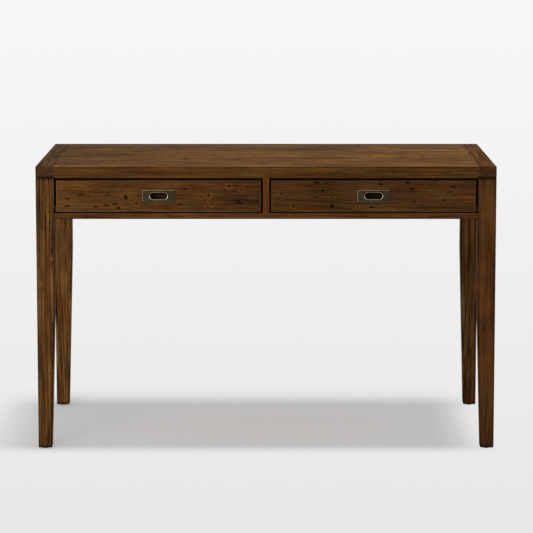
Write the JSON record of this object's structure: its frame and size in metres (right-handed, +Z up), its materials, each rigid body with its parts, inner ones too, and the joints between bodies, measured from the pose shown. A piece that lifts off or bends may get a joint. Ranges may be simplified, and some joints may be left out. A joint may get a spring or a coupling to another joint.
{
  "type": "campaign desk",
  "caption": "Stained pine writing desk with square tapered legs, flush drawers side by side and recessed bronze pulls.",
  "frame": {"origin": "centre of the desk's footprint, on the floor", "axes": "+Z up, +X to the right of someone facing the drawers, -Y out of the drawer fronts"},
  "size_m": [1.22, 0.61, 0.762],
  "materials": {
    "desktop_pine": "stained pine, satin lacquer",
    "frame_pine": "stained pine, satin lacquer",
    "drawer_front_pine": "stained knotty pine, satin lacquer",
    "drawer_box_pine": "clear lacquered pine",
    "drawer_bottom_ply": "clear lacquered plywood",
    "inner_pine": "lightly stained pine",
    "glide_plastic": "dark grey nylon",
    "slide_steel": "black coated steel sheet",
    "zinc_screws": "zinc plated",
    "antique_bronze": "antique bronze, rubbed edges",
    "bronze_cup": "dark antique bronze",
    "bronze_screws": "antique bronze"
  },
  "bodies": {
    "desk": {"top_end_left": "desktop_pine", "top_end_right": "desktop_pine", "top_plank_1": "desktop_pine", "top_plank_2": "desktop_pine", "top_plank_3": "desktop_pine", "top_plank_4": "desktop_pine", "top_plank_5": "desktop_pine", "leg_front_left": "frame_pine", "leg_front_right": "frame_pine", "leg_rear_left": "frame_pine", "leg_rear_right": "frame_pine", "side_apron_left": "frame_pine", "side_apron_right": "frame_pine", "back_apron": "frame_pine", "front_rail": "frame_pine", "drawer_stile": "frame_pine", "hidden_rail": "inner_pine", "drawer_partition": "inner_pine", "centre_runner": "inner_pine", "slide_packer_left": "inner_pine", "slide_packer_right": "inner_pine", "top_buttons": "inner_pine", "foot_glides": "glide_plastic", "top_screws": "zinc_screws", "desk_slide_screws": "zinc_screws", "left_slide_left_desk_member": "slide_steel", "left_slide_right_desk_member": "slide_steel", "right_slide_left_desk_member": "slide_steel", "right_slide_right_desk_member": "slide_steel"},
    "left_drawer": {"left_drawer_face": "drawer_front_pine", "left_drawer_box_front": "drawer_box_pine", "left_drawer_box_rear": "drawer_box_pine", "left_drawer_side_left": "drawer_box_pine", "left_drawer_side_right": "drawer_box_pine", "left_drawer_bottom": "drawer_bottom_ply", "left_pull_plate": "antique_bronze", "left_pull_cup": "bronze_cup", "left_pull_screws": "bronze_screws", "left_drawer_face_screws": "zinc_screws", "left_drawer_slide_screws": "zinc_screws", "left_slide_left_drawer_member": "slide_steel", "left_slide_right_drawer_member": "slide_steel"},
    "left_runners": {"left_slide_left_middle_member": "slide_steel", "left_slide_right_middle_member": "slide_steel"},
    "right_drawer": {"right_drawer_face": "drawer_front_pine", "right_drawer_box_front": "drawer_box_pine", "right_drawer_box_rear": "drawer_box_pine", "right_drawer_side_left": "drawer_box_pine", "right_drawer_side_right": "drawer_box_pine", "right_drawer_bottom": "drawer_bottom_ply", "right_pull_plate": "antique_bronze", "right_pull_cup": "bronze_cup", "right_pull_screws": "bronze_screws", "right_drawer_face_screws": "zinc_screws", "right_drawer_slide_screws": "zinc_screws", "right_slide_left_drawer_member": "slide_steel", "right_slide_right_drawer_member": "slide_steel"},
    "right_runners": {"right_slide_left_middle_member": "slide_steel", "right_slide_right_middle_member": "slide_steel"}
  },
  "joints": [
    {"name": "left_drawer_slide", "type": "slide", "parent": "desk", "child": "left_drawer", "axis": [0, -1, 0], "range_m": [0, 0.44]},
    {"name": "left_runner_slide", "type": "slide", "parent": "desk", "child": "left_runners", "axis": [0, -1, 0], "range_m": [0, 0.22]},
    {"name": "right_drawer_slide", "type": "slide", "parent": "desk", "child": "right_drawer", "axis": [0, -1, 0], "range_m": [0, 0.44]},
    {"name": "right_runner_slide", "type": "slide", "parent": "desk", "child": "right_runners", "axis": [0, -1, 0], "range_m": [0, 0.22]}
  ],
  "couplings": [
    {"joint": "left_runner_slide", "follows": "left_drawer_slide", "ratio": 0.5},
    {"joint": "right_runner_slide", "follows": "right_drawer_slide", "ratio": 0.5}
  ]
}
